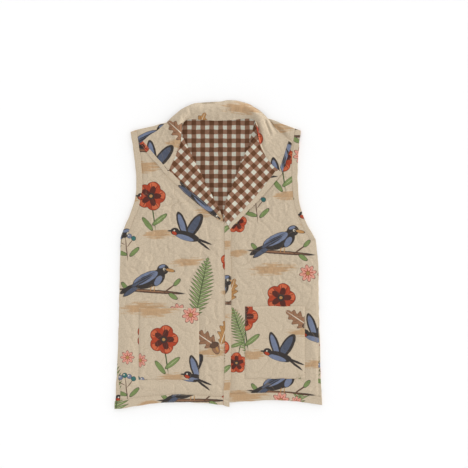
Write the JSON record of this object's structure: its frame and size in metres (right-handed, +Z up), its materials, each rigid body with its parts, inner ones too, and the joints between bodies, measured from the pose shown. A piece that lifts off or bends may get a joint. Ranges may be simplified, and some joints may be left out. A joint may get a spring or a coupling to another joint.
{
  "type": "quilted vest",
  "caption": "Sleeveless quilted vest laid flat, with a notched rolled collar, gingham lapels, a lapped front band and patch pockets.",
  "frame": {"origin": "middle of the vest's plan, on the surface that it lies on", "axes": "+Y from the hem to the collar, +Z up through the layers from the back to the fronts, +X to the right as seen from above"},
  "size_m": [0.476, 0.709, 0.0163],
  "materials": {
    "print_cotton": "matt quilted cotton with a printed design on tan",
    "gingham_cotton": "matt woven gingham check in brown and off-white",
    "edging_cotton": "matt printed cotton strips, folded and stitched down"
  },
  "bodies": {
    "root": {"back": "print_cotton", "front_left": "print_cotton", "front_right": "print_cotton", "collar": "print_cotton", "pocket_left": "print_cotton", "pocket_right": "print_cotton", "lapel_left": "gingham_cotton", "lapel_right": "gingham_cotton", "front_band": "edging_cotton", "lapel_band_left": "edging_cotton", "lapel_band_right": "edging_cotton", "collar_band_left": "edging_cotton", "collar_band_right": "edging_cotton", "armhole_band_left": "edging_cotton", "armhole_band_right": "edging_cotton", "hem_band_left": "edging_cotton", "hem_band_right": "edging_cotton"}
  },
  "joints": []
}
